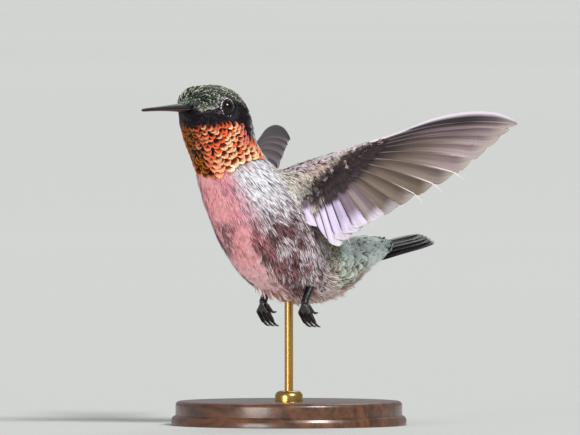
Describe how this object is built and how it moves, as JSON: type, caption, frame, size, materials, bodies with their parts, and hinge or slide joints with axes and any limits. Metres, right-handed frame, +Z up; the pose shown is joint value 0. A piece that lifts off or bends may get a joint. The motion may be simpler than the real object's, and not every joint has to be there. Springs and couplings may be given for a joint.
{
  "type": "ruby-throated hummingbird",
  "caption": "Life-size adult male ruby-throated hummingbird in hovering flight, wings raised and swept back, head turned a little to its left, on a rod and a round base.",
  "frame": {"origin": "centre of the flat underside of the round base, below the rod", "axes": "+Z up; the bird faces -Y and its own left side is +X"},
  "size_m": [0.0613, 0.0784, 0.0638],
  "materials": {
    "crown_green": "short iridescent green crown feathers with pale edges, black mask below",
    "gorget_red": "scale-like iridescent throat feathers, orange-red to gold",
    "breast_white": "soft pale breast feathers, lavender white to pink",
    "belly_grey": "loose downy belly and flank feathers",
    "rump_green": "pale green iridescent rump and tail coverts",
    "wing_covert": "small overlapping wing coverts",
    "wing_feather": "thin grey-brown flight feathers with dark shafts",
    "tail_feather": "dark glossy tail feathers",
    "bill_black": "smooth black horn",
    "eye_black": "wet dark eye with a clear cornea",
    "foot_black": "fine black scales, and horn on the claws",
    "stand_wood": "turned dark walnut, satin lacquer",
    "stand_brass": "satin brass rod and collar"
  },
  "bodies": {
    "root": {"belly": "belly_grey", "bill_lower": "bill_black", "bill_upper": "bill_black", "breast": "breast_white", "claw_left_hind": "foot_black", "claw_left_inner": "foot_black", "claw_left_middle": "foot_black", "claw_left_outer": "foot_black", "claw_right_hind": "foot_black", "claw_right_inner": "foot_black", "claw_right_middle": "foot_black", "claw_right_outer": "foot_black", "eye_left": "eye_black", "eye_right": "eye_black", "foot_left": "foot_black", "foot_right": "foot_black", "head": "crown_green", "leg_left": "foot_black", "leg_right": "foot_black", "neck": "gorget_red", "rump": "rump_green", "stand_base": "stand_wood", "stand_collar": "stand_brass", "stand_rod": "stand_brass", "tail": "tail_feather", "wing_left_arm": "wing_covert", "wing_left_hand": "wing_covert", "wing_left_primaries": "wing_feather", "wing_left_secondaries": "wing_feather", "wing_right_arm": "wing_covert", "wing_right_hand": "wing_covert", "wing_right_primaries": "wing_feather", "wing_right_secondaries": "wing_feather"}
  },
  "joints": []
}
